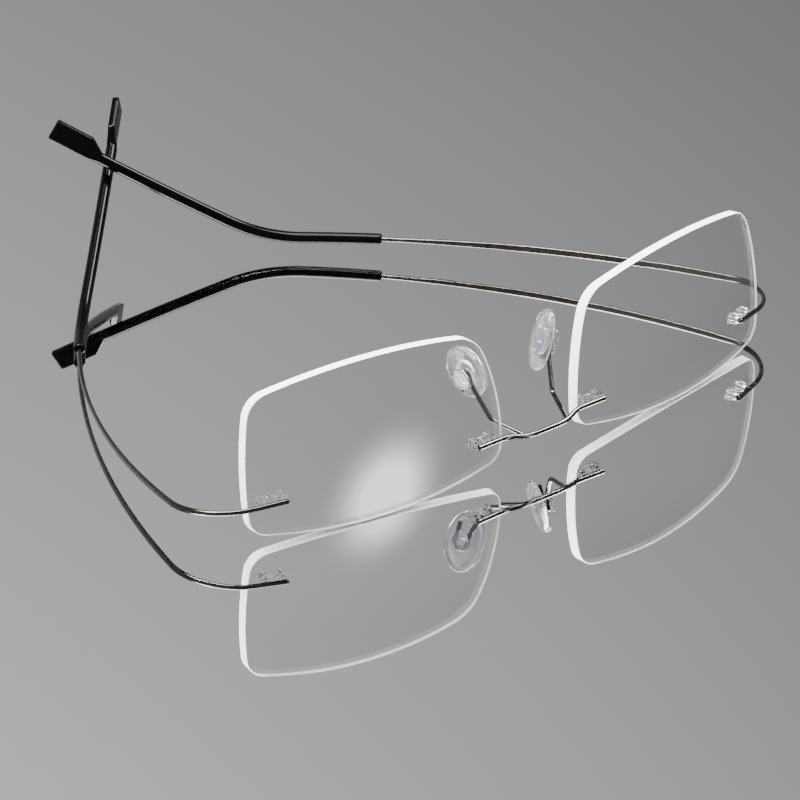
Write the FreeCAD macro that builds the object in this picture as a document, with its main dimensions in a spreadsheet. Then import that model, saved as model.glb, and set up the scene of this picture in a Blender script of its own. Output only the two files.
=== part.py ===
import FreeCAD, Part
import math
import os

import Sketcher

# Rimless, hingeless eyeglasses, standing upside down: brow edges of the lenses at the bottom.
# Millimetres. X is across the face, the lens fronts face -Y, the temples run towards +Y, Z is up.
# The origin is below the centre of the whole object, on the surface that it stands on.

Vector = FreeCAD.Vector
Rotation = FreeCAD.Rotation
Placement = FreeCAD.Placement

SIZES = [
    # lens outline in the lens's own plane: u runs to the temple side, v runs up
    ("brow_nasal_u", -27.4), ("brow_nasal_v", -11.8),
    ("brow_outer_u", 25.5), ("brow_outer_v", -13.1),
    ("cheek_outer_u", 24.5), ("cheek_outer_v", 12.1),
    ("cheek_nasal_u", -22.65), ("cheek_nasal_v", 12.55),
    ("brow_edge_radius", 124.0), ("outer_edge_radius", 61.0),
    ("cheek_edge_radius", 103.5), ("nasal_edge_radius", 43.0),
    ("brow_nasal_corner", 3.65), ("brow_outer_corner", 4.2),
    ("cheek_outer_corner", 5.3), ("cheek_nasal_corner", 7.2),
    ("lens_thickness", 2.0), ("lens_curve_radius", 132.0), ("lens_chamfer", 0.12),
    ("lens_wrap_deg", 9.0), ("lens_tilt_deg", 6.7),
    ("lens_centre_x", 36.8), ("lens_centre_z", 15.56), ("lens_depth", -62.55),
    # where the bars cross the lens: two holes per bar
    ("hole_spacing", 3.5), ("hole_radius", 0.76), ("hole_inset", 0.6),
    ("nasal_hole_u", -23.75), ("nasal_hole_v", -8.0),
    ("temple_hole_u", 20.85), ("temple_hole_v", -7.6), ("temple_bar_slope_deg", 2.6),
    ("bar_gap", 0.02), ("fit_gap", 0.01), ("plug_seat_gap", 0.045),
    ("pin_radius", 0.35), ("pin_socket_depth", 0.22),
    ("plug_shank_radius", 0.75), ("plug_head_radius", 1.05), ("plug_head_length", 1.25),
    ("plug_web_width", 0.7), ("plug_web_thickness", 0.55), ("plug_rounding", 0.35),
    # bridge
    ("bridge_radius", 0.48), ("bridge_edge_x", 8.6), ("bridge_knee_x", 4.6),
    ("bridge_knee_depth", 1.55), ("bridge_knee_drop", 0.55),
    ("bridge_edge_bend", 6.5), ("bridge_knee_bend", 11.0),
    # nose pads: the pad's own frame has x across, y along the pad and z towards the lens
    ("pad_centre_x", 9.4), ("pad_centre_y", 8.0), ("pad_centre_z", 17.05),
    ("pad_splay_deg", 23.0), ("pad_flare_deg", 16.5), ("pad_lean_deg", 7.0),
    ("pad_half_length", 5.9), ("pad_half_width", 3.8), ("pad_thickness", 1.9), ("pad_rounding", 0.8),
    ("core_base_half_length", 2.6), ("core_base_half_width", 1.8), ("core_base_thickness", 0.7),
    ("core_neck_radius", 0.65), ("core_neck_length", 1.32),
    ("core_flange_half_length", 2.3), ("core_flange_half_width", 1.6), ("core_flange_thickness", 0.55),
    ("core_rounding", 0.2),
    ("pad_wire_radius", 0.42), ("loop_clearance", 0.1), ("loop_leg_start", 2.2), ("loop_free_end", 3.6),
    ("arm_root_x", 5.0), ("arm_knee_x", 7.97), ("arm_knee_y", 3.21), ("arm_knee_z", 8.71),
    ("arm_knee_bend", 1.4), ("arm_loop_bend", 4.0),
    # temples: lengths along the strip, from the inner end of the bar
    ("bar_length", 6.36), ("bend_radius", 11.87), ("tip_bend_radius", 32.0), ("tip_bow_radius", 727.5),
    ("tip_turn_length", 12.0),
    # each temple is bent by hand to its own shape, so the two sides differ a little
    ("left_bend_deg", 85.82), ("right_bend_deg", 90.76), ("left_drop_deg", 4.25), ("right_drop_deg", 2.82),
    ("left_bow_radius", 163.8), ("right_bow_radius", 175.8),
    ("left_bow_length", 78.95), ("right_bow_length", 84.05),
    ("left_tip_bend_deg", 21.12), ("right_tip_bend_deg", 26.41),
    ("left_tip_turn_deg", 7.89), ("right_tip_turn_deg", 0.0),
    ("left_tip_length", 51.5), ("right_tip_length", 37.6),
    ("left_sleeve_start", 97.7), ("right_sleeve_start", 94.1),
    ("temple_bar_radius", 0.45), ("flex_station", 15.0), ("flex_gap", 0.06),
    ("blade_start", 33.0), ("blade_end", 62.0), ("blade_thickness", 0.65), ("blade_height", 1.4),
    ("wire_radius", 0.45), ("sleeve_radius", 1.1),
    ("sleeve_mouth_bevel", 0.25), ("core_margin", 0.5),
    ("paddle_length", 10.5), ("paddle_thickness", 1.35), ("paddle_height", 4.1), ("paddle_step", 2.9),
]

doc = FreeCAD.newDocument("eyeglasses")
sheet = doc.addObject("Spreadsheet::Sheet", "sizes")
for row, (alias, number) in enumerate(SIZES, start=1):
    sheet.set("A%d" % row, alias)
    sheet.set("B%d" % row, str(number))
    sheet.setAlias("B%d" % row, alias)
doc.recompute()

sub_parts = []


def size(alias):
    """A driving dimension as the sheet holds it."""
    return float(sheet.get(alias))


def angle(alias):
    """A driving angle in radians."""
    return math.radians(size(alias))


def bind(target, name, alias):
    target.setExpression(name, "sizes." + alias)


def keep(target, name):
    """Marks an object as a sub-part; its label names its file."""
    target.Label = name
    sub_parts.append(target)
    return target


def add_shape(name, shape):
    feature = doc.addObject("Part::Feature", name)
    feature.Shape = shape
    return feature


def boolean(kind, name, base, tool):
    result = doc.addObject(kind, name)
    result.Base = base
    result.Tool = tool
    return result


def body_plane(body, role):
    """One of a body's own origin planes."""
    return [item for item in body.Origin.OriginFeatures if item.Role == role][0]


def add_sketch(body, name, role, offset=0.0):
    sketch = body.newObject("Sketcher::SketchObject", name)
    sketch.AttachmentSupport = [(body_plane(body, role), "")]
    sketch.MapMode = "FlatFace"
    sketch.AttachmentOffset = Placement(Vector(0, 0, offset), Rotation())
    return sketch


def add_circle(sketch, x, y, radius_alias):
    """A circle with its centre fixed at x, y and its radius bound to the sheet."""
    index = sketch.addGeometry(Part.Circle(Vector(x, y, 0), Vector(0, 0, 1), size(radius_alias)), False)
    sketch.addConstraint(Sketcher.Constraint("DistanceX", -1, 1, index, 3, x))
    sketch.addConstraint(Sketcher.Constraint("DistanceY", -1, 1, index, 3, y))
    radius = sketch.addConstraint(Sketcher.Constraint("Radius", index, size(radius_alias)))
    sketch.setExpression("Constraints[%d]" % radius, "sizes." + radius_alias)
    return index


# ---- paths and tubes ----

def rounded_path(points, radii):
    """Edges along straight runs between the points, joined by tangent arcs at the inner points."""
    edges = []
    here = points[0]
    for before, corner, after, radius in zip(points, points[1:], points[2:], radii):
        back = (before - corner).normalize()
        ahead = (after - corner).normalize()
        half = back.getAngle(ahead) / 2
        trim = radius / math.tan(half)
        middle = (back + ahead).normalize()
        start = corner + back * trim
        centre = corner + middle * (radius / math.sin(half))
        if here.distanceToPoint(start) > 1e-4:
            edges.append(Part.makeLine(here, start))
        here = corner + ahead * trim
        edges.append(Part.Arc(start, centre - middle * radius, here).toShape())
    edges.append(Part.makeLine(here, points[-1]))
    return edges


def tube(edges, radius):
    """A solid round bar along the edges."""
    first = edges[0]
    start = first.valueAt(first.FirstParameter)
    heading = first.tangentAt(first.FirstParameter)
    profile = Part.Wire([Part.makeCircle(radius, start, heading)])
    return Part.Wire(edges).makePipeShell([profile], True, False)


def dome_ends(shape, radius):
    """Rounds the rims of a bar's two flat ends."""
    rims = []
    for face in shape.Faces:
        if isinstance(face.Surface, Part.Plane):
            rims.extend(face.Edges)
    return shape.makeFillet(radius, rims)


# ---- lenses ----

def lens_placement(side):
    """Lens frame: x across, y up, z out of the front, origin at the front surface's centre."""
    turn = Rotation(Vector(0, 0, 1), side * size("lens_wrap_deg"))
    stand = Rotation(Vector(1, 0, 0), 90 - size("lens_tilt_deg"))
    place = Vector(side * size("lens_centre_x"), size("lens_depth"), size("lens_centre_z"))
    return Placement(place, turn.multiply(stand))


def mount_placement(side, u, v, slope_deg):
    """Frame on the lens front midway between two holes: z out of the lens, x along the bar, outwards."""
    curve = size("lens_curve_radius")
    centre = Vector(0, 0, -curve)
    surface = Vector(side * u, v, math.sqrt(curve ** 2 - u ** 2 - v ** 2) - curve)
    normal = (surface - centre).normalize()
    slope = math.radians(slope_deg)
    along = Vector(side * math.cos(slope), -math.sin(slope), 0)
    along = (along - normal * along.dot(normal)).normalize()
    local = Placement(surface, Rotation(along, normal.cross(along), normal, "ZXY"))
    return lens_placement(side).multiply(local)


def nasal_mount(side):
    return mount_placement(side, size("nasal_hole_u"), size("nasal_hole_v"), 0)


def temple_mount(side):
    return mount_placement(side, size("temple_hole_u"), size("temple_hole_v"), size("temple_bar_slope_deg"))


def hole_offsets():
    half = size("hole_spacing") / 2
    return (-half, half)


def cylinder_row(mount, radius, top, bottom):
    """Two round cylinders at the hole places of a mount, from z = top down to z = bottom."""
    solids = []
    for offset in hole_offsets():
        solid = Part.makeCylinder(radius, top - bottom, Vector(offset, 0, bottom))
        solid.transformShape(mount.toMatrix())
        solids.append(solid)
    return Part.makeCompound(solids)


def lens_outline(name, side):
    """Four arcs between four corners, seen from the front."""
    corners = []
    for corner in ("brow_nasal", "brow_outer", "cheek_outer", "cheek_nasal"):
        corners.append(Vector(side * size(corner + "_u"), size(corner + "_v"), 0))
    radii = ("brow_edge_radius", "outer_edge_radius", "cheek_edge_radius", "nasal_edge_radius")
    sketch = doc.addObject("Sketcher::SketchObject", name)
    for index, alias in enumerate(radii):
        start = corners[index]
        end = corners[(index + 1) % 4]
        middle = (start + end) / 2
        half = start.distanceToPoint(end) / 2
        bulge = size(alias) - math.sqrt(size(alias) ** 2 - half ** 2)
        outwards = (end - start).cross(Vector(0, 0, side)).normalize()
        arc = Part.Arc(start, middle + outwards * bulge, end)
        sketch.addGeometry(arc, False)
    for index, alias in enumerate(radii):
        # an arc's first point is its start counter-clockwise, so the two sides differ
        first, second = (1, 2) if side > 0 else (2, 1)
        sketch.addConstraint(Sketcher.Constraint("Coincident", index, second, (index + 1) % 4, first))
        radius = sketch.addConstraint(Sketcher.Constraint("Radius", index, size(alias)))
        sketch.setExpression("Constraints[%d]" % radius, "sizes." + alias)
    names = ("brow_nasal", "brow_outer", "cheek_outer", "cheek_nasal")
    for index, corner in enumerate(names):
        first = 1 if side > 0 else 2
        for kind, letter, sign in (("DistanceX", "u", side), ("DistanceY", "v", 1)):
            value = sign * size(corner + "_" + letter)
            row = sketch.addConstraint(Sketcher.Constraint(kind, -1, 1, index, first, value))
            expression = "%d * sizes.%s_%s" % (sign, corner, letter)
            sketch.setExpression("Constraints[%d]" % row, expression)
    return sketch


def make_lens(name, side):
    sketch = lens_outline(name + "_outline", side)
    blank = doc.addObject("Part::Extrusion", name + "_blank")
    blank.Base = sketch
    blank.DirMode = "Custom"
    blank.Dir = Vector(0, 0, 1)
    blank.LengthFwd = 2.0
    blank.LengthRev = 9.0
    blank.Solid = True
    doc.recompute()
    corner_radii = ("brow_nasal_corner", "brow_outer_corner", "cheek_outer_corner", "cheek_nasal_corner")
    corners = []
    for corner in ("brow_nasal", "brow_outer", "cheek_outer", "cheek_nasal"):
        corners.append(Vector(side * size(corner + "_u"), size(corner + "_v"), 0))
    chosen = []
    for number, edge in enumerate(blank.Shape.Edges, start=1):
        if not isinstance(edge.Curve, Part.Line):
            continue
        point = Vector(edge.CenterOfMass.x, edge.CenterOfMass.y, 0)
        nearest = min(range(4), key=lambda index: corners[index].distanceToPoint(point))
        radius = size(corner_radii[nearest])
        chosen.append((number, radius, radius))
    rounded = doc.addObject("Part::Fillet", name + "_rounded")
    rounded.Base = blank
    rounded.Edges = chosen
    # the spheres' poles and seams are turned away from the lens
    turned = Rotation(Vector(0, 0, -1), Vector(-1, 0, 0), Vector(0, 1, 0), "XYZ")
    sphere_place = Placement(Vector(0, 0, -size("lens_curve_radius")), turned)
    front = doc.addObject("Part::Sphere", name + "_front_curve")
    bind(front, "Radius", "lens_curve_radius")
    front.Placement = sphere_place
    back = doc.addObject("Part::Sphere", name + "_back_curve")
    back.setExpression("Radius", "sizes.lens_curve_radius - sizes.lens_thickness")
    back.Placement = sphere_place
    domed = boolean("Part::Common", name + "_domed", rounded, front)
    shell = boolean("Part::Cut", name + "_shell", domed, back)
    doc.recompute()
    rims = []
    for number, edge in enumerate(shell.Shape.Edges, start=1):
        spans_walls = isinstance(edge.Curve, Part.Line)
        if not spans_walls:
            rims.append((number, size("lens_chamfer"), size("lens_chamfer")))
    eased = doc.addObject("Part::Chamfer", name + "_eased")
    eased.Base = shell
    eased.Edges = rims
    eased.Placement = lens_placement(side)
    drill = add_shape(name + "_drill", Part.makeCompound([
        cylinder_row(nasal_mount(side), size("hole_radius"), 2, -4),
        cylinder_row(temple_mount(side), size("hole_radius"), 2, -4)]))
    return keep(boolean("Part::Cut", name + "_solid", eased, drill), name)


# ---- pins and plugs ----

def make_pins(name, mount, bar_radius):
    """Two pins from their sockets in the bar back through the lens to the ends of the plug."""
    pins = []
    top = size("bar_gap") + size("pin_socket_depth")
    bottom = -(size("lens_thickness") + size("plug_head_length") - 0.15)
    for index, offset in enumerate(hole_offsets()):
        pin = doc.addObject("Part::Cylinder", "%s_%d" % (name, index + 1))
        bind(pin, "Radius", "pin_radius")
        pin.Height = top - bottom
        pin.Placement = mount.multiply(Placement(Vector(offset, 0, bottom), Rotation()))
        pins.append(pin)
    group = doc.addObject("Part::Compound", name + "_group")
    group.Links = pins
    return keep(group, name)


def make_plug(name, mount):
    """Two tubes in the lens holes with round heads behind the lens, joined by an arched web."""
    body = doc.addObject("PartDesign::Body", name + "_body")
    left, right = hole_offsets()
    depth = size("lens_thickness") + size("plug_seat_gap")
    shanks = add_sketch(body, name + "_shanks", "XY_Plane")
    heads = add_sketch(body, name + "_heads", "XY_Plane", -depth)
    for x in (left, right):
        add_circle(shanks, x, 0, "plug_shank_radius")
        add_circle(heads, x, 0, "plug_head_radius")
    web = add_sketch(body, name + "_web", "XZ_Plane")
    low = -(depth + size("plug_head_length"))
    high = low + size("plug_web_thickness")
    arch = 0.3
    corners = [Vector(left, low, 0), Vector(right, low, 0), Vector(right, high, 0), Vector(left, high, 0)]
    rise = Vector(0, -arch, 0)
    web.addGeometry(Part.Arc(corners[0], Vector(0, low, 0) + rise, corners[1]), False)
    web.addGeometry(Part.LineSegment(corners[1], corners[2]), False)
    web.addGeometry(Part.Arc(corners[3], Vector(0, high, 0) + rise, corners[2]), False)
    web.addGeometry(Part.LineSegment(corners[3], corners[0]), False)
    web_pad = body.newObject("PartDesign::Pad", name + "_web_pad")
    web_pad.Profile = web
    bind(web_pad, "Length", "plug_web_width")
    web_pad.Midplane = True
    head_pad = body.newObject("PartDesign::Pad", name + "_head_pad")
    head_pad.Profile = heads
    bind(head_pad, "Length", "plug_head_length")
    head_pad.Reversed = True
    shank_pad = body.newObject("PartDesign::Pad", name + "_shank_pad")
    shank_pad.Profile = shanks
    shank_pad.setExpression("Length", "sizes.lens_thickness + 0.1")
    shank_pad.Reversed = True
    bores = add_sketch(body, name + "_bores", "XY_Plane", -(depth + size("plug_head_length") + 1))
    for x in (left, right):
        index = add_circle(bores, x, 0, "pin_radius")
        bores.setExpression("Constraints[%d]" % (3 * index + 2), "sizes.pin_radius + sizes.fit_gap")
    doc.recompute()
    solid_volume = body.Shape.Volume
    bore = body.newObject("PartDesign::Pocket", name + "_bore")
    bore.Profile = bores
    bore.Type = "Length"
    bore.Length = 10
    bore.Reversed = True
    doc.recompute()
    if body.Shape.Volume > solid_volume - 0.1:
        raise RuntimeError(name + ": the bores cut nothing")
    body.Placement = mount
    return keep(body, name)


# ---- bridge ----

def bar_point(mount, x, radius):
    """A point on a bar's centre line, which lies in front of the lens."""
    return mount.multVec(Vector(x, 0, size("bar_gap") + radius))


def bridge_points():
    half_bar = size("hole_spacing") / 2 + size("hole_inset")
    radius = size("bridge_radius")
    right = nasal_mount(1)
    # a nasal mount's x axis points to the temple side, so the bridge leaves along -x
    inner_end = bar_point(right, half_bar, radius)
    hole_end = bar_point(right, -half_bar, radius)
    run = hole_end - inner_end
    share = (size("bridge_edge_x") - inner_end.x) / run.x
    edge = inner_end + run * share
    knee = Vector(size("bridge_knee_x"), edge.y - size("bridge_knee_depth"), edge.z - size("bridge_knee_drop"))
    points = [inner_end, edge, knee]
    mirrored = [Vector(-point.x, point.y, point.z) for point in reversed(points)]
    return points + mirrored


def bridge_edges():
    edge_bend = size("bridge_edge_bend")
    knee_bend = size("bridge_knee_bend")
    return rounded_path(bridge_points(), [edge_bend, knee_bend, knee_bend, edge_bend])


def make_bridge(name):
    bar = dome_ends(tube(bridge_edges(), size("bridge_radius")), 0.2)
    sockets = []
    for side in (-1, 1):
        top = size("bar_gap") + size("pin_socket_depth")
        sockets.append(cylinder_row(nasal_mount(side), size("pin_radius"), top, -1))
    return keep(boolean("Part::Cut", name + "_solid", add_shape(name + "_rod", bar),
                        add_shape(name + "_sockets", Part.makeCompound(sockets))), name)


# ---- nose pads ----

def pad_placement(side):
    """Pad frame: z from the nose towards the lens, y along the pad, origin in the cushion's middle."""
    splay = angle("pad_splay_deg")
    flare = angle("pad_flare_deg")
    outwards = Vector(side * math.cos(flare) * math.cos(splay), -math.cos(flare) * math.sin(splay),
                      -math.sin(flare))
    level = Vector(0, 0, 1).cross(outwards).normalize()
    upright = outwards.cross(level).normalize()
    lean = side * angle("pad_lean_deg")
    along = upright * math.cos(lean) + level * math.sin(lean)
    across = along.cross(outwards)
    place = Vector(side * size("pad_centre_x"), size("pad_centre_y") + size("lens_depth"),
                   size("pad_centre_z"))
    return Placement(place, Rotation(across, along, outwards, "ZYX"))


def make_oval(name, half_length_alias, half_width_alias, thickness_alias, bottom):
    outline = doc.addObject("Part::Ellipse", name + "_outline")
    bind(outline, "MajorRadius", half_length_alias)
    bind(outline, "MinorRadius", half_width_alias)
    outline.Placement = Placement(Vector(0, 0, bottom), Rotation(Vector(0, 0, 1), 90))
    plate = doc.addObject("Part::Extrusion", name)
    plate.Base = outline
    plate.DirMode = "Custom"
    plate.Dir = Vector(0, 0, 1)
    bind(plate, "LengthFwd", thickness_alias)
    plate.Solid = True
    return plate


def round_rims(name, base, radius):
    """Rounds every rim of an oval plate."""
    doc.recompute()
    rims = []
    for number, edge in enumerate(base.Shape.Edges, start=1):
        if not isinstance(edge.Curve, Part.Line):
            rims.append((number, radius, radius))
    rounded = doc.addObject("Part::Fillet", name)
    rounded.Base = base
    rounded.Edges = rims
    return rounded


def make_pad(side_name, side):
    """The hard insert and the soft cushion moulded round its base."""
    placement = pad_placement(side)
    name = side_name + "_pad_core"
    face = size("pad_thickness") / 2
    base_bottom = face - 0.2 - size("core_base_thickness")
    neck_bottom = face - 0.3
    flange_bottom = face + size("core_neck_length")
    base = make_oval(name + "_base", "core_base_half_length", "core_base_half_width",
                     "core_base_thickness", base_bottom)
    neck = doc.addObject("Part::Cylinder", name + "_neck")
    bind(neck, "Radius", "core_neck_radius")
    neck.Height = flange_bottom - neck_bottom + 0.1
    neck.Placement.Base = Vector(0, 0, neck_bottom)
    flange = make_oval(name + "_flange_blank", "core_flange_half_length", "core_flange_half_width",
                       "core_flange_thickness", flange_bottom)
    flange = round_rims(name + "_flange", flange, size("core_rounding"))
    core = doc.addObject("Part::MultiFuse", name + "_solid")
    core.Shapes = [base, neck, flange]
    core.Placement = placement
    keep(core, name)

    name = side_name + "_pad_cushion"
    blank = make_oval(name + "_blank", "pad_half_length", "pad_half_width", "pad_thickness", -face)
    blank = round_rims(name + "_rounded", blank, size("pad_rounding"))
    doc.recompute()
    recess = add_shape(name + "_recess", base.Shape.fuse(neck.Shape))
    cushion = boolean("Part::Cut", name + "_solid", blank, recess)
    cushion.Placement = placement
    keep(cushion, name)


def loop_height():
    """The wire loop runs midway between the cushion and the flange."""
    return size("pad_thickness") / 2 + size("core_neck_length") / 2


def pad_arm_edges(side):
    placement = pad_placement(side)
    # towards the front of the glasses is the pad frame's -x on the right pad and +x on the left pad
    reach = size("core_neck_radius") + size("loop_clearance") + size("pad_wire_radius")
    front = -side * reach
    height = loop_height()
    local = [Vector(front, -size("loop_leg_start"), height), Vector(front, reach, height),
             Vector(-front, reach, height), Vector(-front, -size("loop_free_end"), height)]
    loop = [placement.multVec(point) for point in local]
    bridge = bridge_points()
    edge, knee = bridge[1], bridge[2]
    share = (size("arm_root_x") - edge.x) / (knee.x - edge.x)
    root = edge + (knee - edge) * share
    root.x = side * root.x
    bend = Vector(side * size("arm_knee_x"), size("arm_knee_y") + size("lens_depth"), size("arm_knee_z"))
    # the wire's end is sunk into the bar, but not through it
    root = root + (bend - root).normalize() * (size("bridge_radius") / 2)
    radii = [size("arm_knee_bend"), size("arm_loop_bend"), reach, reach]
    return rounded_path([root, bend] + loop, radii)


def make_pad_arm(name, side):
    wire = add_shape(name + "_wire", tube(pad_arm_edges(side), size("pad_wire_radius")))
    bar = add_shape(name + "_seat", tube(bridge_edges(), size("bridge_radius")))
    return keep(boolean("Part::Cut", name + "_solid", wire, bar), name)


# ---- temples ----

def temple_placement(side, drop_deg):
    """Temple frame: origin at the bar's inner end, x along the bar, y to the back, z up or down."""
    mount = temple_mount(side)
    half_bar = size("hole_spacing") / 2 + size("hole_inset")
    start = bar_point(mount, -half_bar, size("temple_bar_radius"))
    along = mount.Rotation.multVec(Vector(1, 0, 0))
    back = Vector(0, 0, 1).cross(along) * side
    back = (back - along * back.dot(along)).normalize()
    level = Placement(start, Rotation(along, back, along.cross(back), "XYZ"))
    drop = Placement(Vector(), Rotation(Vector(1, 0, 0), -side * drop_deg))
    return level.multiply(drop)


class Route:
    """The temple's centre line in the temple frame: bar, bend, bow, then the rising tip."""

    def __init__(self, side_name, side):
        self.side = side
        bend = size("bend_radius")
        tip_bend = size("tip_bend_radius")
        turn_length = size("tip_turn_length")
        self.bend_end = size("bar_length") + bend * angle(side_name + "_bend_deg")
        self.rise_start = self.bend_end + size(side_name + "_bow_length")
        self.mouth = size(side_name + "_sleeve_start")
        # seen from above
        self.plan = [(size("bar_length"), 0.0),
                     (bend * angle(side_name + "_bend_deg"), 1 / bend),
                     (size(side_name + "_bow_length"), 1 / size(side_name + "_bow_radius")),
                     (turn_length, angle(side_name + "_tip_turn_deg") / turn_length),
                     (100.0, 0.0)]
        # seen from the side
        self.climb = [(tip_bend * angle(side_name + "_tip_bend_deg"), 1 / tip_bend),
                      (size(side_name + "_tip_length"), 1 / size("tip_bow_radius"))]
        self.tip_bend_end = self.rise_start + self.climb[0][0]
        self.total = self.tip_bend_end + size(side_name + "_tip_length")

    @staticmethod
    def follow(stretches, distance):
        """Place and heading after a distance along a chain of straight runs and arcs."""
        x, y, heading = 0.0, 0.0, 0.0
        for length, curvature in stretches:
            step = min(distance, length)
            if curvature:
                after = heading + curvature * step
                x += (math.sin(after) - math.sin(heading)) / curvature
                y -= (math.cos(after) - math.cos(heading)) / curvature
                heading = after
            else:
                x += step * math.cos(heading)
                y += step * math.sin(heading)
            distance -= step
        return x, y, heading

    def frame(self, station):
        """Point, heading, upwards and sideways directions at a distance along the strip."""
        run, height, slope = self.follow(self.climb, max(station - self.rise_start, 0))
        x, y, heading = self.follow(self.plan, min(station, self.rise_start) + run)
        level = Vector(math.cos(heading), math.sin(heading), 0)
        up = Vector(0, 0, self.side)
        point = Vector(x, y, 0) + up * height
        ahead = level * math.cos(slope) + up * math.sin(slope)
        above = up * math.cos(slope) - level * math.sin(slope)
        return point, ahead, above, ahead.cross(above)

    def section(self, station, thickness, height, lift=0.0):
        """A rounded rectangle across the strip."""
        point, ahead, up, sideways = self.frame(station)
        corner = min(thickness, height) / 2 - 0.02
        return rounded_rectangle(point + up * lift, sideways, up, thickness / 2, height / 2, corner)


def rounded_rectangle(centre, across, up, half_width, half_height, corner):
    """A closed wire of four straight sides and four round corners."""
    edges = []
    here = None
    first = None
    for side_x, side_y in ((1, 1), (-1, 1), (-1, -1), (1, -1)):
        middle = centre + across * (side_x * (half_width - corner)) + up * (side_y * (half_height - corner))
        outer_x = middle + across * (side_x * corner)
        outer_y = middle + up * (side_y * corner)
        between = middle + (across * side_x + up * side_y) * (corner * math.sqrt(0.5))
        start, end = (outer_x, outer_y) if side_x * side_y > 0 else (outer_y, outer_x)
        if here is not None:
            edges.append(Part.makeLine(here, start))
        else:
            first = start
        edges.append(Part.Arc(start, between, end).toShape())
        here = end
    edges.append(Part.makeLine(here, first))
    return Part.Wire(edges)


def blend_between(value, marks):
    """Linear interpolation in a short list of (station, number) pairs."""
    for (first, low), (last, high) in zip(marks, marks[1:]):
        if value <= last:
            share = max(value - first, 0) / (last - first)
            share = share * share * (3 - 2 * share)
            return low + (high - low) * share
    return marks[-1][1]


def strip_profile(route, station):
    """Thickness and height of the strip: round bar, then tall blade, then round wire."""
    round_bar = 2 * size("temple_bar_radius")
    wire = 2 * size("wire_radius")
    marks = (size("bar_length"), size("blade_start"), size("blade_end"), route.mouth)
    thickness = list(zip(marks, (round_bar, size("blade_thickness"), size("blade_thickness"), wire)))
    height = list(zip(marks, (round_bar, size("blade_height"), size("blade_height"), wire)))
    return blend_between(station, thickness), blend_between(station, height)


def strip_loft(route, stations):
    sections = [route.section(station, *strip_profile(route, station)) for station in stations]
    return Part.makeLoft(sections, True, False)


def spaced(start, end, count):
    return [start + (end - start) * index / (count - 1) for index in range(count)]


def core_rod(route, start, radius):
    """A round rod along the bow, from a station to where the core ends inside the sleeve."""
    end = route.rise_start - size("core_margin")
    points = [route.frame(station)[0] for station in (start, (start + end) / 2, end)]
    return tube([Part.Arc(*points).toShape()], radius)


def make_endpiece(name, side, route, placement):
    """The bar on the lens and the first half of the bend, with a full round end at the flex axis."""
    station = size("flex_station")
    strip = strip_loft(route, spaced(size("bar_length"), station, 6))
    straight = Part.makeLine(Vector(), Vector(size("bar_length"), 0, 0))
    bar = dome_ends(tube([straight], size("temple_bar_radius") - 0.002), 0.2)
    thickness, height = strip_profile(route, station)
    point, ahead, up, sideways = route.frame(station)
    foot = point - up * (height / 2 - 0.08)
    knuckle = Part.makeCylinder(thickness / 2, height - 0.16, foot, up)
    solid = bar.fuse([strip, knuckle]).removeSplitter()
    solid.transformShape(placement.toMatrix())
    top = size("bar_gap") + size("pin_socket_depth")
    sockets = cylinder_row(temple_mount(side), size("pin_radius"), top, -1)
    return keep(boolean("Part::Cut", name + "_solid", add_shape(name + "_strip", solid),
                        add_shape(name + "_sockets", sockets)), name)


def make_temple_arm(name, route, placement):
    """The blade from the flex axis to the sleeve, and the round core inside the sleeve."""
    thickness = strip_profile(route, size("flex_station"))[0]
    start = size("flex_station") + thickness / 2 + size("flex_gap")
    stations = spaced(start, route.bend_end, 5) + spaced(route.bend_end, route.mouth, 9)[1:]
    core = core_rod(route, route.mouth - 0.5, size("wire_radius") - size("fit_gap"))
    arm = add_shape(name + "_solid", strip_loft(route, stations).fuse(core).removeSplitter())
    arm.Placement = placement
    return keep(arm, name)


def sleeve_section(route, station):
    """Round along the wire; the last stretch flattens and grows upwards into the paddle."""
    diameter = 2 * size("sleeve_radius")
    flat = size("paddle_thickness")
    tall = size("paddle_height")
    neck = route.total - size("paddle_length")
    full = neck + size("paddle_step")
    thickness = blend_between(station, [(neck, diameter * 0.9), (full, flat), (route.total, flat)])
    height = blend_between(station, [(neck, diameter), (full, tall), (route.total, tall)])
    return route.section(station, thickness, height, (height - diameter) / 2)


def make_sleeve(name, route, placement):
    neck = route.total - size("paddle_length")
    full = neck + size("paddle_step")
    start = route.mouth
    stations = spaced(start, route.rise_start, 6) + spaced(route.rise_start, route.tip_bend_end, 7)[1:]
    stations += spaced(route.tip_bend_end, neck, 9)[1:]
    stations += spaced(neck, full, 4)[1:] + spaced(full, route.total, 4)[1:]
    shell = Part.makeLoft([sleeve_section(route, station) for station in stations], True, False)
    mouth, ahead = route.frame(start)[:2]
    bevel = size("sleeve_mouth_bevel")
    outer = size("sleeve_radius")
    cone = Part.makeCone(outer - bevel, outer + bevel, 2 * bevel, mouth, ahead)
    shell = shell.cut(Part.makeCylinder(2 * outer, 2 * bevel, mouth, ahead).cut(cone))
    bore = core_rod(route, start - 1, size("wire_radius"))
    sleeve = add_shape(name + "_solid", shell.cut(bore))
    sleeve.Placement = placement
    return keep(sleeve, name)


def make_temple(side_name, side):
    route = Route(side_name, side)
    placement = temple_placement(side, size(side_name + "_drop_deg"))
    make_endpiece(side_name + "_endpiece", side, route, placement)
    make_temple_arm(side_name + "_temple_arm", route, placement)
    make_sleeve(side_name + "_tip_sleeve", route, placement)


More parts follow.
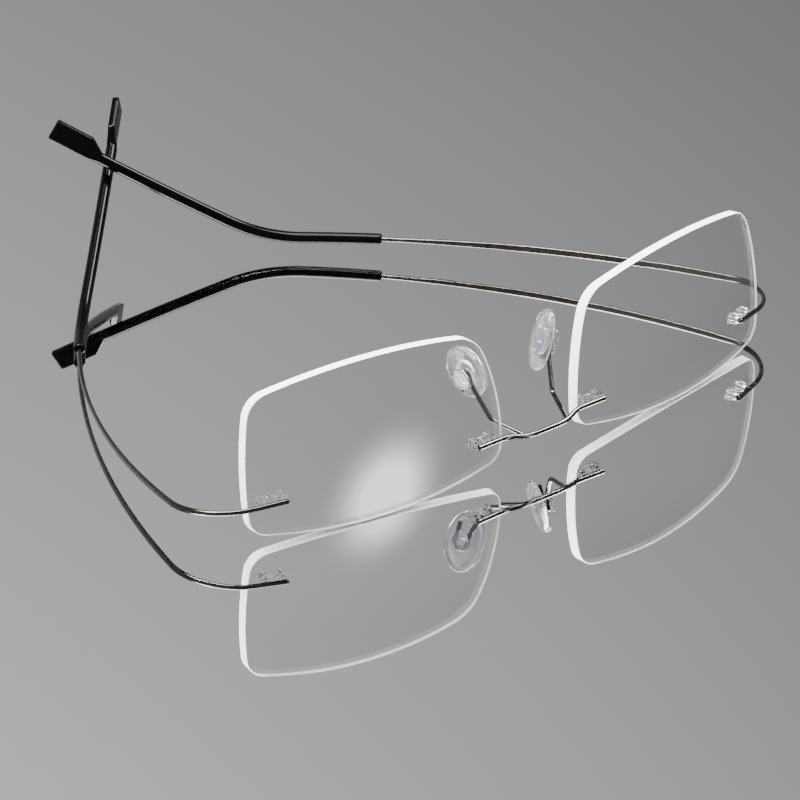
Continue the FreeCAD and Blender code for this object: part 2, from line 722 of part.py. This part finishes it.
def make_side(side_name, side):
    make_lens(side_name + "_lens", side)
    make_pins(side_name + "_bridge_pins", nasal_mount(side), size("bridge_radius"))
    make_pins(side_name + "_temple_pins", temple_mount(side), size("temple_bar_radius"))
    make_plug(side_name + "_nasal_plug", nasal_mount(side))
    make_plug(side_name + "_temple_plug", temple_mount(side))
    make_pad(side_name, side)
    make_pad_arm(side_name + "_pad_arm", side)
    make_temple(side_name, side)


def check_document():
    """Stops before anything is written when an object failed or a shape isn't sound."""
    faults = []
    for item in doc.Objects:
        if "Invalid" in item.State or "Error" in item.State:
            faults.append(item.Name + " failed")
    for item in sub_parts:
        if item.Shape.isNull() or not item.Shape.isValid():
            faults.append(item.Label + " has no valid shape")
    if faults:
        raise RuntimeError("; ".join(faults))


def write_parts():
    os.makedirs("parts", exist_ok=True)
    for item in sub_parts:
        item.Shape.exportStep("parts/%s.step" % item.Label)


make_bridge("bridge_bar")
for side_name, side in (("left", -1), ("right", 1)):
    make_side(side_name, side)
doc.recompute()
check_document()
write_parts()
for item in sub_parts:
    box = item.Shape.BoundBox
    print("%-20s solids %d volume %8.2f  x %7.2f %7.2f  y %7.2f %7.2f  z %6.2f %6.2f" % (
        item.Label, len(item.Shape.Solids), item.Shape.Volume,
        box.XMin, box.XMax, box.YMin, box.YMax, box.ZMin, box.ZMax))
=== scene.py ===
import math

import bmesh
import bpy
from mathutils import Matrix, Vector


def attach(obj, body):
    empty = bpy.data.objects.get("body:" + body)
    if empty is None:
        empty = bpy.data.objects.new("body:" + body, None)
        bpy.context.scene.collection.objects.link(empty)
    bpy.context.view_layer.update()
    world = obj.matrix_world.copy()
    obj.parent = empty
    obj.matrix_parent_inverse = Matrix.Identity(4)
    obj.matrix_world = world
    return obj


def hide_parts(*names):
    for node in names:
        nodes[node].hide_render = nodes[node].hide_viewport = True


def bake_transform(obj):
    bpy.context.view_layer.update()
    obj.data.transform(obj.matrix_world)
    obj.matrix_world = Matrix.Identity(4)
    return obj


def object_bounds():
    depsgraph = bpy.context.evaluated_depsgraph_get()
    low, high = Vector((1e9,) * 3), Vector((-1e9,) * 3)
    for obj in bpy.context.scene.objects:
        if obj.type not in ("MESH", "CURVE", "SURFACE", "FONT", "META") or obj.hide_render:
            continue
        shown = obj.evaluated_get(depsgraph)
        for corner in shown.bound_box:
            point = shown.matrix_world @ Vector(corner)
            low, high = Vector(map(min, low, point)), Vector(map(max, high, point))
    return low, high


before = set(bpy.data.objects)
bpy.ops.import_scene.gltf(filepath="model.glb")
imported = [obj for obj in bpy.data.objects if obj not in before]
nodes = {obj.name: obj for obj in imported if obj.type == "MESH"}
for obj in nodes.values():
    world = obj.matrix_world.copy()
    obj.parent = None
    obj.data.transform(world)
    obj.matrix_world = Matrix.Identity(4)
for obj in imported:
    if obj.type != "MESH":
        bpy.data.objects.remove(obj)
cad_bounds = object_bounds()
SIDES = (("left", -1), ("right", 1))
MM = 0.001

# These sizes are in millimetres. They repeat part.py, which isn't read.
LENS_WRAP, LENS_TILT = math.radians(9.0), math.radians(6.7)
LENS_CENTRE = (36.8, -62.55, 15.56)
LENS_CURVE = 132.0
HOLE_SPACING, HOLE_INSET, BAR_GAP = 3.5, 0.6, 0.02
NASAL_HOLE, TEMPLE_HOLE, TEMPLE_BAR_SLOPE = (-23.75, -8.0), (20.85, -7.6), math.radians(2.6)
BAR_LENGTH, BAR_RADIUS = 6.36, 0.45
BEND_RADIUS, TIP_BEND_RADIUS, TIP_BOW_RADIUS, TIP_TURN_LENGTH = 11.87, 32.0, 727.5, 12.0
TEMPLES = {
    "left": dict(bend=85.82, drop=4.25, bow_radius=163.8, bow=78.95, tip_bend=21.12, tip_turn=7.89,
                 tip=51.5, mouth=97.7),
    "right": dict(bend=90.76, drop=2.82, bow_radius=175.8, bow=84.05, tip_bend=26.41, tip_turn=0.0,
                  tip=37.6, mouth=94.1)}
FLEX_STATION = 15.0
BLADE_START, BLADE_END, BLADE_THICKNESS, BLADE_HEIGHT = 33.0, 62.0, 0.65, 1.4
WIRE_RADIUS, SLEEVE_RADIUS = 0.45, 1.1
PADDLE_LENGTH, PADDLE_STEP, PADDLE_THICKNESS, PADDLE_HEIGHT = 10.5, 2.9, 1.35, 4.1
PAD_CENTRE = (9.4, 8.0 + LENS_CENTRE[1], 17.05)
PAD_SPLAY, PAD_FLARE, PAD_LEAN = math.radians(23), math.radians(16.5), math.radians(7)
PAD_HALF_LENGTH, PAD_HALF_WIDTH, PAD_HALF_THICKNESS = 5.9, 3.8, 0.95

# These are the scene's own, also in millimetres apart from the cosine.
WALL_COSINE = 0.8           # a lens face is wall where its normal's part along the lens's axis is under this
HOLE_REACH = 1.3            # wall faces this near a hole's middle belong to the hole, not to the ground edge
STRAIGHT_RUN = 100.0        # longer than the tips, so that the last stretch never ends
FLEX_REACH = 7.0            # points this far on each side of the flex station are worked out for the strip, but nothing uses them
FINE_END = 34.0             # the strip's rings lie closer together up to this station
BAR_ROUNDING = 0.2          # how far the bar's inner end is rounded over
PADDLE_ROUNDING = 0.28      # how far the paddle's end edge is rounded over


# ---- frames: the same construction as in part.py ----

def columns(x, y, z, place):
    """A frame from its three directions and its origin."""
    matrix = Matrix((x, y, z)).transposed().to_4x4()
    matrix.translation = place
    return matrix


def lens_frame(side):
    """x across, y up, z out of the lens's front, origin at the middle of the front surface."""
    centre = Vector((side * LENS_CENTRE[0], LENS_CENTRE[1], LENS_CENTRE[2]))
    turn = Matrix.Rotation(side * LENS_WRAP, 4, "Z")
    stand = Matrix.Rotation(math.pi / 2 - LENS_TILT, 4, "X")
    return Matrix.Translation(centre) @ turn @ stand


def temple_mount(side):
    """On the lens front midway between the two holes: z out of the lens, x along the bar."""
    u, v = side * TEMPLE_HOLE[0], TEMPLE_HOLE[1]
    surface = Vector((u, v, math.sqrt(LENS_CURVE ** 2 - u * u - v * v) - LENS_CURVE))
    normal = (surface + Vector((0, 0, LENS_CURVE))).normalized()
    along = Vector((side * math.cos(TEMPLE_BAR_SLOPE), -math.sin(TEMPLE_BAR_SLOPE), 0))
    along = (along - normal * along.dot(normal)).normalized()
    return lens_frame(side) @ columns(along, normal.cross(along), normal, surface)


def temple_frame(side, drop_deg):
    """Origin at the bar's inner end, x along the bar, y towards the back."""
    mount = temple_mount(side)
    start = mount @ Vector((-(HOLE_SPACING / 2 + HOLE_INSET), 0, BAR_GAP + BAR_RADIUS))
    along = mount.to_3x3() @ Vector((1, 0, 0))
    back = Vector((0, 0, 1)).cross(along) * side
    back = (back - along * back.dot(along)).normalized()
    level = columns(along, back, along.cross(back), start)
    return level @ Matrix.Rotation(math.radians(-side * drop_deg), 4, "X")


def pad_frame(side):
    """Origin in the cushion's middle, y along the pad, z from the nose towards the lens."""
    outwards = Vector((side * math.cos(PAD_FLARE) * math.cos(PAD_SPLAY),
                       -math.cos(PAD_FLARE) * math.sin(PAD_SPLAY), -math.sin(PAD_FLARE)))
    level = Vector((0, 0, 1)).cross(outwards).normalized()
    upright = outwards.cross(level).normalized()
    lean = side * PAD_LEAN
    along = upright * math.cos(lean) + level * math.sin(lean)
    place = Vector((side * PAD_CENTRE[0], PAD_CENTRE[1], PAD_CENTRE[2]))
    return columns(along.cross(outwards), along, outwards, place)


class Route:
    """A temple's centre line: bar, bend and bow seen from above, then the rising tip."""

    def __init__(self, name, side):
        shape = TEMPLES[name]
        bend = math.radians(shape["bend"])
        tip_bend = math.radians(shape["tip_bend"])
        self.side = side
        self.mouth = shape["mouth"]
        self.base = temple_frame(side, shape["drop"])
        self.plan = [(BAR_LENGTH, 0.0), (BEND_RADIUS * bend, 1 / BEND_RADIUS),
                     (shape["bow"], 1 / shape["bow_radius"]),
                     (TIP_TURN_LENGTH, math.radians(shape["tip_turn"]) / TIP_TURN_LENGTH),
                     (STRAIGHT_RUN, 0.0)]
        self.rise_start = BAR_LENGTH + BEND_RADIUS * bend + shape["bow"]
        self.climb = [(TIP_BEND_RADIUS * tip_bend, 1 / TIP_BEND_RADIUS), (shape["tip"], 1 / TIP_BOW_RADIUS)]
        self.total = self.rise_start + TIP_BEND_RADIUS * tip_bend + shape["tip"]

    @staticmethod
    def follow(stretches, distance):
        x, y, heading = 0.0, 0.0, 0.0
        for length, curvature in stretches:
            step = min(distance, length)
            if curvature:
                after = heading + curvature * step
                x += (math.sin(after) - math.sin(heading)) / curvature
                y -= (math.cos(after) - math.cos(heading)) / curvature
                heading = after
            else:
                x += step * math.cos(heading)
                y += step * math.sin(heading)
            distance -= step
        return x, y, heading

    def at(self, station):
        """Point, up and sideways directions, in the part's frame, in millimetres."""
        run, height, slope = self.follow(self.climb, max(station - self.rise_start, 0))
        x, y, heading = self.follow(self.plan, min(station, self.rise_start) + run)
        level = Vector((math.cos(heading), math.sin(heading), 0))
        up = Vector((0, 0, self.side))
        ahead = level * math.cos(slope) + up * math.sin(slope)
        above = up * math.cos(slope) - level * math.sin(slope)
        turn = self.base.to_3x3()
        point = self.base @ (Vector((x, y, 0)) + up * height)
        return point, turn @ above, turn @ ahead.cross(above)


# ---- mesh helpers ----

def eased(share):
    """Smooth step from 0 to 1."""
    share = min(max(share, 0.0), 1.0)
    return share * share * (3 - 2 * share)


def between(value, marks):
    """Eases from mark to mark in a short list of (station, number) pairs."""
    for (first, low), (last, high) in zip(marks, marks[1:]):
        if value <= last:
            return low + (high - low) * eased((value - first) / (last - first))
    return marks[-1][1]


def spaced(start, end, step):
    count = max(2, round((end - start) / step) + 1)
    return [start + (end - start) * index / (count - 1) for index in range(count)]


def crowned_section(half_width, half_height, squareness, count=28):
    """Points round an oval; squareness above 2 fills its corners out, as (across, up) pairs."""
    points = []
    for index in range(count):
        angle = 2 * math.pi * index / count
        x, y = math.cos(angle), math.sin(angle)
        points.append((half_width * math.copysign(abs(x) ** (2 / squareness), x),
                       half_height * math.copysign(abs(y) ** (2 / squareness), y)))
    return points


def rounded_section(half_width, half_height, corner, per_corner=5):
    """Points round a rectangle with round corners, as (across, up) pairs."""
    corner = min(corner, half_width, half_height)
    points = []
    for quarter, (cx, cy) in enumerate(((1, 1), (-1, 1), (-1, -1), (1, -1))):
        for step in range(per_corner):
            angle = math.pi / 2 * (quarter + step / (per_corner - 1))
            points.append((cx * (half_width - corner) + corner * math.cos(angle),
                           cy * (half_height - corner) + corner * math.sin(angle)))
    return points


def skin(name, rings, material):
    """A smooth mesh through rings of points given in millimetres, closed at both ends."""
    mesh = bpy.data.meshes.new(name)
    work = bmesh.new()
    loops = [[work.verts.new(Vector(point) * MM) for point in ring] for ring in rings]
    for first, second in zip(loops, loops[1:]):
        count = len(first)
        for index in range(count):
            after = (index + 1) % count
            work.faces.new((first[index], first[after], second[after], second[index]))
    work.faces.new(list(reversed(loops[0])))
    work.faces.new(loops[-1])
    bmesh.ops.recalc_face_normals(work, faces=work.faces)
    for face in work.faces:
        face.smooth = True
    work.to_mesh(mesh)
    work.free()
    piece = bpy.data.objects.new(name, mesh)
    bpy.context.scene.collection.objects.link(piece)
    piece.data.materials.append(material)
    return piece


def sharpen(piece, angle_deg):
    """Keeps edges crisp where two faces meet at more than this angle."""
    piece.data.update()
    work = bmesh.new()
    work.from_mesh(piece.data)
    for edge in work.edges:
        if len(edge.link_faces) == 2 and edge.calc_face_angle() > math.radians(angle_deg):
            edge.smooth = False
    work.to_mesh(piece.data)
    work.free()
    return piece


# ---- materials ----

def new_material(name):
    material = bpy.data.materials.new(name)
    material.use_nodes = True
    tree = material.node_tree
    return material, tree, tree.nodes["Principled BSDF"]


def link(tree, source, target):
    tree.links.new(source, target)


def object_coords(tree):
    return tree.nodes.new("ShaderNodeTexCoord").outputs["Object"]


def noise(tree, vector, scale, detail=4.0):
    node = tree.nodes.new("ShaderNodeTexNoise")
    node.inputs["Scale"].default_value = scale
    node.inputs["Detail"].default_value = detail
    link(tree, vector, node.inputs["Vector"])
    return node.outputs["Fac"]


def ramp(tree, value, stops):
    """Maps a value through coloured stops."""
    node = tree.nodes.new("ShaderNodeValToRGB")
    elements = node.color_ramp.elements
    elements[0].position, elements[0].color = stops[0][0], (*stops[0][1], 1)
    elements[1].position, elements[1].color = stops[1][0], (*stops[1][1], 1)
    for position, colour in stops[2:]:
        element = elements.new(position)
        element.color = (*colour, 1)
    link(tree, value, node.inputs["Fac"])
    return node.outputs["Color"]


def spread(tree, value, low, high):
    """Stretches the middle of a noise's range over low to high."""
    node = tree.nodes.new("ShaderNodeMapRange")
    node.inputs["From Min"].default_value = 0.3
    node.inputs["From Max"].default_value = 0.7
    node.inputs["To Min"].default_value = low
    node.inputs["To Max"].default_value = high
    link(tree, value, node.inputs["Value"])
    return node.outputs["Result"]


def bump(tree, shader, value, strength, distance):
    node = tree.nodes.new("ShaderNodeBump")
    node.inputs["Strength"].default_value = strength
    node.inputs["Distance"].default_value = distance
    link(tree, value, node.inputs["Height"])
    link(tree, node.outputs["Normal"], shader.inputs["Normal"])


def metal(name, dark, light, rough):
    """Polished metal with a faint uneven tone and very fine drawing marks."""
    material, tree, shader = new_material(name)
    shader.inputs["Metallic"].default_value = 1.0
    where = object_coords(tree)
    tone = noise(tree, where, 260.0)
    link(tree, ramp(tree, tone, [(0.35, dark), (0.65, light)]), shader.inputs["Base Color"])
    marks = noise(tree, where, 2400.0, 6.0)
    link(tree, spread(tree, marks, rough * 0.75, rough * 1.3), shader.inputs["Roughness"])
    bump(tree, shader, marks, 0.06, 0.00002)
    return material


def coated(name, dark, light, rough):
    """Dark glossy coat with a slight orange-peel texture and a little uneven sheen."""
    material, tree, shader = new_material(name)
    where = object_coords(tree)
    tone = noise(tree, where, 180.0)
    link(tree, ramp(tree, tone, [(0.35, dark), (0.7, light)]), shader.inputs["Base Color"])
    grain = noise(tree, where, 1500.0, 5.0)
    link(tree, spread(tree, grain, rough * 0.8, rough * 1.25), shader.inputs["Roughness"])
    shader.inputs["Specular IOR Level"].default_value = 0.06
    bump(tree, shader, grain, 0.05, 0.00002)
    return material


def clear(name, tint, pale, ior, rough, haze):
    """Clear glass or plastic; haze is the share of faint milky scatter in it."""
    material, tree, shader = new_material(name)
    where = object_coords(tree)
    tone = noise(tree, where, 120.0, 3.0)
    link(tree, ramp(tree, tone, [(0.35, tint), (0.7, pale)]), shader.inputs["Base Color"])
    shader.inputs["IOR"].default_value = ior
    patches = noise(tree, where, 700.0)
    link(tree, spread(tree, patches, rough, rough * 1.6 + 0.005), shader.inputs["Roughness"])
    shader.inputs["Transmission Weight"].default_value = 1.0 - haze
    return material


def ground_edge(name):
    """The lens's ground and buffed edge: white, finely scattering, with faint grinding lines."""
    material, tree, shader = new_material(name)
    where = object_coords(tree)
    lines = noise(tree, where, 1800.0, 6.0)
    link(tree, ramp(tree, lines, [(0.3, (0.8, 0.83, 0.86)), (0.7, (0.97, 0.98, 1.0))]),
         shader.inputs["Base Color"])
    link(tree, spread(tree, lines, 0.22, 0.42), shader.inputs["Roughness"])
    shader.inputs["IOR"].default_value = 1.5
    bump(tree, shader, lines, 0.3, 0.00003)
    return material


gunmetal = metal("gunmetal", (0.06, 0.055, 0.05), (0.09, 0.083, 0.076), 0.09)
pin_metal = metal("pin_metal", (0.1, 0.095, 0.09), (0.15, 0.142, 0.135), 0.22)
strip_metal = metal("black_strip", (0.05, 0.046, 0.042), (0.07, 0.064, 0.058), 0.15)
tip_plastic = coated("black_tip", (0.0005, 0.0005, 0.0006), (0.0009, 0.0009, 0.001), 0.16)
lens_glass = clear("lens_clear", (0.97, 0.985, 0.99), (0.985, 0.99, 0.995), 1.6, 0.0, 0.0)
lens_edge = ground_edge("lens_ground_edge")
plug_clear = clear("plug_clear", (0.95, 0.97, 0.98), (1.0, 1.0, 1.0), 1.49, 0.02, 0.05)
pad_silicone = clear("pad_silicone", (0.9, 0.94, 1.0), (0.96, 0.98, 1.0), 1.41, 0.11, 0.02)
pad_insert = clear("pad_insert", (0.93, 0.96, 1.0), (0.98, 0.99, 1.0), 1.49, 0.02, 0.03)


def paint(node_name, material):
    item = nodes[node_name]
    item.data.materials.clear()
    item.data.materials.append(material)


paint("bridge_bar", gunmetal)
for side_name, side in SIDES:
    paint(side_name + "_pad_arm", gunmetal)
    for end in ("bridge", "temple"):
        paint("%s_%s_pins" % (side_name, end), pin_metal)
    for end in ("nasal", "temple"):
        paint("%s_%s_plug" % (side_name, end), plug_clear)
    paint(side_name + "_lens", lens_glass)
    paint(side_name + "_pad_core", pad_insert)
    paint(side_name + "_pad_cushion", pad_silicone)


# ---- lenses: the CAD solid's own surface, with its edge wall finished as ground glass ----

def make_lens(name, side_name, side):
    mesh = nodes[side_name + "_lens"].data.copy()
    mesh.materials.clear()
    mesh.materials.append(lens_glass)
    mesh.materials.append(lens_edge)
    to_lens = lens_frame(side).inverted()
    turn = to_lens.to_3x3()
    holes = []
    for u, v in (NASAL_HOLE, TEMPLE_HOLE):
        holes += [Vector((side * u + step, v, 0)) for step in (-HOLE_SPACING / 2, HOLE_SPACING / 2)]
    for face in mesh.polygons:
        sideways = abs((turn @ face.normal).z) < WALL_COSINE
        centre = to_lens @ (face.center / MM)
        centre.z = 0
        in_hole = min((centre - hole).length for hole in holes) < HOLE_REACH
        face.material_index = 1 if sideways and not in_hole else 0
    piece = bpy.data.objects.new(name, mesh)
    bpy.context.scene.collection.objects.link(piece)
    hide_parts(side_name + "_lens")
    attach(piece, "front")
    return piece


for side_name, side in SIDES:
    make_lens(side_name + "_lens_polished", side_name, side)


# ---- nose pads: a thin clear plate with a thick round rim, over the insert's oval foot ----

def oval(inset, height, count=72):
    """Points round the pad's outline, moved inwards by inset, at a height in the pad's frame."""
    points = []
    for index in range(count):
        angle = 2 * math.pi * index / count
        points.append(Vector(((PAD_HALF_WIDTH - inset) * math.cos(angle),
                              (PAD_HALF_LENGTH - inset) * math.sin(angle), height)))
    return points


def make_pad(name, side_name, side):
    face = PAD_HALF_THICKNESS
    # (inset, height) pairs: up the nose side, round the rim, then down into the shallow dish behind it
    nose_side = [(3.3, -face), (2.4, -face + 0.03), (1.5, -face + 0.1), (0.85, -face + 0.25),
                 (0.4, -face + 0.5)]
    rim = [(0.12, -face + 0.85), (0.0, -face + 1.2), (0.08, face - 0.38), (0.3, face - 0.12), (0.6, face),
           (0.9, face - 0.08), (1.15, face - 0.32)]
    dish = [(1.35, face - 0.62), (1.7, face - 0.8), (2.4, face - 0.86), (3.3, face - 0.88)]
    frame_of_pad = pad_frame(side)
    rings = [[frame_of_pad @ point for point in oval(inset, height)]
             for inset, height in nose_side + rim + dish]
    piece = skin(name, rings, pad_silicone)
    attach(piece, side_name + "_pad")
    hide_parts(side_name + "_pad_cushion")
    return piece


for side_name, side in SIDES:
    make_pad(side_name + "_pad_skin", side_name, side)


# ---- temples ----

def strip_size(station, mouth):
    """Half thickness and half height of the strip: round bar, tall blade, round wire."""
    marks = (BAR_LENGTH, BLADE_START, BLADE_END, mouth)
    thickness = between(station, list(zip(marks, (BAR_RADIUS, BLADE_THICKNESS / 2, BLADE_THICKNESS / 2,
                                                  WIRE_RADIUS))))
    height = between(station, list(zip(marks, (BAR_RADIUS, BLADE_HEIGHT / 2, BLADE_HEIGHT / 2, WIRE_RADIUS))))
    return thickness, height


def ring_at(route, station, half_width, half_height, corner, lift=0.0):
    point, up, sideways = route.at(station)
    centre = point + up * lift
    return [centre + sideways * x + up * y for x, y in rounded_section(half_width, half_height, corner)]


def crowned_ring(route, station, half_width, half_height, squareness):
    point, up, sideways = route.at(station)
    return [point + sideways * x + up * y for x, y in crowned_section(half_width, half_height, squareness)]


def make_strip(name, side_name, route):
    """The whole springy strip from the bar on the lens to inside the sleeve, in one piece."""
    rings = []
    for angle in (10, 30, 50, 70, 90):
        turn = math.radians(angle)
        radius = BAR_RADIUS - BAR_ROUNDING + BAR_ROUNDING * math.sin(turn)
        station = BAR_ROUNDING - BAR_ROUNDING * math.cos(turn)
        rings.append(crowned_ring(route, station, radius, radius, 2.0))
    for station in (spaced(0.6, BAR_LENGTH, 0.6) + spaced(BAR_LENGTH, FINE_END, 0.7)[1:]
                    + spaced(FINE_END, route.mouth + 2.0, 1.6)[1:]):
        thickness, height = strip_size(station, route.mouth)
        squareness = between(station, [(BAR_LENGTH, 2.0), (BLADE_START, 3.0), (BLADE_END + 15, 3.0),
                                       (route.mouth, 2.0)])
        rings.append(crowned_ring(route, station, thickness, height, squareness))
    piece = skin(name, rings, strip_metal)
    start = route.at(FLEX_STATION - FLEX_REACH)[0] * MM
    end = route.at(FLEX_STATION + FLEX_REACH)[0] * MM
    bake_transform(piece)
    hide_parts(side_name + "_endpiece", side_name + "_temple_arm")
    return piece


def make_sleeve(name, side_name, route):
    """Round moulded sleeve with a bevelled mouth; its end flattens and steps up into a paddle."""
    outer = SLEEVE_RADIUS
    rings = []
    for station, radius in ((2.5, WIRE_RADIUS), (0.12, WIRE_RADIUS), (0.02, WIRE_RADIUS + 0.06),
                            (0.0, 0.78), (0.03, 0.86), (0.26, outer - 0.02), (0.36, outer)):
        rings.append(ring_at(route, route.mouth + station, radius, radius, radius))
    neck = route.total - PADDLE_LENGTH
    full = neck + PADDLE_STEP
    for station in spaced(route.mouth + 1.2, neck - 0.6, 1.1):
        rings.append(ring_at(route, station, outer, outer, outer))
    for station in spaced(neck - 0.2, full + 0.2, 0.24) + spaced(full + 0.5, route.total - 0.3, 0.9):
        step = min(max((station - neck) / PADDLE_STEP, 0.0), 1.0)
        flat = eased((station - neck + 0.6) / (PADDLE_STEP + 0.4))
        half_width = outer * 0.95 + (PADDLE_THICKNESS / 2 - outer * 0.95) * flat
        half_height = outer + (PADDLE_HEIGHT / 2 - outer) * step
        corner = outer + (0.3 - outer) * flat
        rings.append(ring_at(route, station, half_width, half_height, corner, half_height - outer))
    for turn_deg in (35, 65, 90):
        turn = math.radians(turn_deg)
        shrink = PADDLE_ROUNDING * (1 - math.cos(turn))
        station = route.total - PADDLE_ROUNDING + PADDLE_ROUNDING * math.sin(turn)
        rings.append(ring_at(route, station, PADDLE_THICKNESS / 2 - shrink, PADDLE_HEIGHT / 2 - shrink, 0.26,
                             PADDLE_HEIGHT / 2 - outer))
    piece = skin(name, rings, tip_plastic)
    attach(sharpen(piece, 38), side_name + "_temple")
    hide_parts(side_name + "_tip_sleeve")
    return piece


for side_name, side in SIDES:
    route = Route(side_name, side)
    make_strip(side_name + "_temple_strip", side_name, route)
    make_sleeve(side_name + "_sleeve_skin", side_name, route)


# ---- stage, light and camera ----

# Places and sizes from here on are in metres; the camera's own lens is in millimetres, as Blender has it.
FLOOR_DROP = 0.00005                            # the floor lies this far under the lowest point
AIM = Vector((0, 0, 0.01))                      # where the lamps point
LEFTWARD = (-0.743, 0.669, 0.0)                 # level, and to the left as the camera sees it
WALL_BRIGHTNESS = {"right": 0.4, "left": 0.8}
WARM = (1.0, 0.96, 0.9)
CAMERA_PLACE = Vector((-0.82053, -0.93903, 0.60951))
CAMERA_TURN = math.radians(41.979), math.radians(26.513), math.radians(0.49)
CAMERA_LENS = 335.93


def make_floor():
    """A plain pale glossy board that mirrors the object and the studio around it."""
    mesh = bpy.data.meshes.new("floor")
    half = 4.0
    corners = [(-half, -half, 0), (half, -half, 0), (half, half, 0), (-half, half, 0)]
    mesh.from_pydata(corners, [], [(0, 1, 2, 3)])
    floor = bpy.data.objects.new("floor", mesh)
    bpy.context.scene.collection.objects.link(floor)
    floor.location.z = cad_bounds[0].z - FLOOR_DROP
    material, tree, shader = new_material("floor_gloss")
    where = object_coords(tree)
    tone = noise(tree, where, 1.2, 2.0)
    link(tree, ramp(tree, tone, [(0.3, (0.84, 0.835, 0.84)), (0.7, (0.88, 0.875, 0.88))]),
         shader.inputs["Base Color"])
    shader.inputs["Roughness"].default_value = 0.015
    shader.inputs["Metallic"].default_value = 1.0
    mesh.materials.append(material)


def soft_centre(data):
    """Lets a lamp's glow fade from its middle to its rim."""
    data.use_nodes = True
    tree = data.node_tree
    glow = tree.nodes["Emission"]
    where = tree.nodes.new("ShaderNodeNewGeometry").outputs["Parametric"]
    shift = tree.nodes.new("ShaderNodeVectorMath")
    shift.operation = "DISTANCE"
    shift.inputs[1].default_value = (0.5, 0.5, 0.0)
    link(tree, where, shift.inputs[0])
    fade = tree.nodes.new("ShaderNodeMapRange")
    fade.inputs["From Min"].default_value = 0.0
    fade.inputs["From Max"].default_value = 0.5
    fade.inputs["To Min"].default_value = 1.0
    fade.inputs["To Max"].default_value = 0.0
    link(tree, shift.outputs["Value"], fade.inputs["Value"])
    soften = tree.nodes.new("ShaderNodeMath")
    soften.operation = "POWER"
    soften.inputs[1].default_value = 3.0
    link(tree, fade.outputs["Result"], soften.inputs[0])
    link(tree, soften.outputs[0], glow.inputs["Strength"])


def area_light(name, place, width, height, brightness, colour=(1, 1, 1)):
    """A soft box that faces the object; brightness is its radiance."""
    data = bpy.data.lights.new(name, "AREA")
    data.shape = "RECTANGLE"
    data.size = width
    data.size_y = height
    data.energy = brightness * math.pi * width * height
    data.color = colour
    light = bpy.data.objects.new(name, data)
    light.location = place
    light.rotation_euler = (AIM - Vector(place)).to_track_quat("-Z", "Y").to_euler()
    bpy.context.scene.collection.objects.link(light)
    return data


def make_world():
    """Grey walls, darkest overhead, and twice as bright on the left as on the right."""
    world = bpy.data.worlds.new("studio")
    world.use_nodes = True
    tree = world.node_tree
    way = tree.nodes.new("ShaderNodeTexCoord").outputs["Generated"]
    height = tree.nodes.new("ShaderNodeSeparateXYZ")
    link(tree, way, height.inputs[0])
    leftward = tree.nodes.new("ShaderNodeVectorMath")
    leftward.operation = "DOT_PRODUCT"
    leftward.inputs[1].default_value = LEFTWARD
    link(tree, way, leftward.inputs[0])
    # Each stop is the sine of an angle above the horizon, and the wall's colour there.
    stops = [(0.3, (0.7, 0.7, 0.705)), (0.385, (0.45, 0.447, 0.456)), (0.5, (0.92, 0.914, 0.93)),
             (0.58, (0.8, 0.8, 0.805)), (0.7, (0.12, 0.12, 0.12))]
    back = tree.nodes["Background"]
    link(tree, ramp(tree, height.outputs["Z"], stops), back.inputs["Color"])
    side = tree.nodes.new("ShaderNodeMapRange")
    side.inputs["From Min"].default_value = -0.08
    side.inputs["From Max"].default_value = 0.08
    side.inputs["To Min"].default_value = WALL_BRIGHTNESS["right"]
    side.inputs["To Max"].default_value = WALL_BRIGHTNESS["left"]
    link(tree, leftward.outputs["Value"], side.inputs["Value"])
    link(tree, side.outputs["Result"], back.inputs["Strength"])
    bpy.context.scene.world = world


def make_camera():
    """A long lens from the front left, looking down, with a slight roll."""
    yaw, pitch, roll = CAMERA_TURN
    look = Vector((math.sin(yaw) * math.cos(pitch), math.cos(yaw) * math.cos(pitch), -math.sin(pitch)))
    across = Vector((math.cos(yaw), -math.sin(yaw), 0))
    upright = across.cross(look)
    right = across * math.cos(roll) + upright * math.sin(roll)
    above = upright * math.cos(roll) - across * math.sin(roll)
    camera = bpy.data.objects.new("camera", bpy.data.cameras.new("camera"))
    camera.matrix_world = columns(right, above, -look, CAMERA_PLACE)
    camera.data.sensor_width = 36.0
    camera.data.lens = CAMERA_LENS
    camera.data.clip_end = 20.0
    bpy.context.scene.collection.objects.link(camera)
    bpy.context.scene.camera = camera


make_floor()
make_world()
area_light("top_soft", (0.0, 0.1, 1.3), 0.8, 0.8, 36.0)
area_light("high_left_soft", (-0.63, 0.17, 1.13), 0.5, 0.5, 80.0, WARM)
area_light("high_right_soft", (0.79, -0.14, 1.02), 0.45, 0.45, 60.0, WARM)
soft_centre(area_light("round_glow", (0.232, -0.663, 0.295), 0.36, 0.36, 36.0))
make_camera()
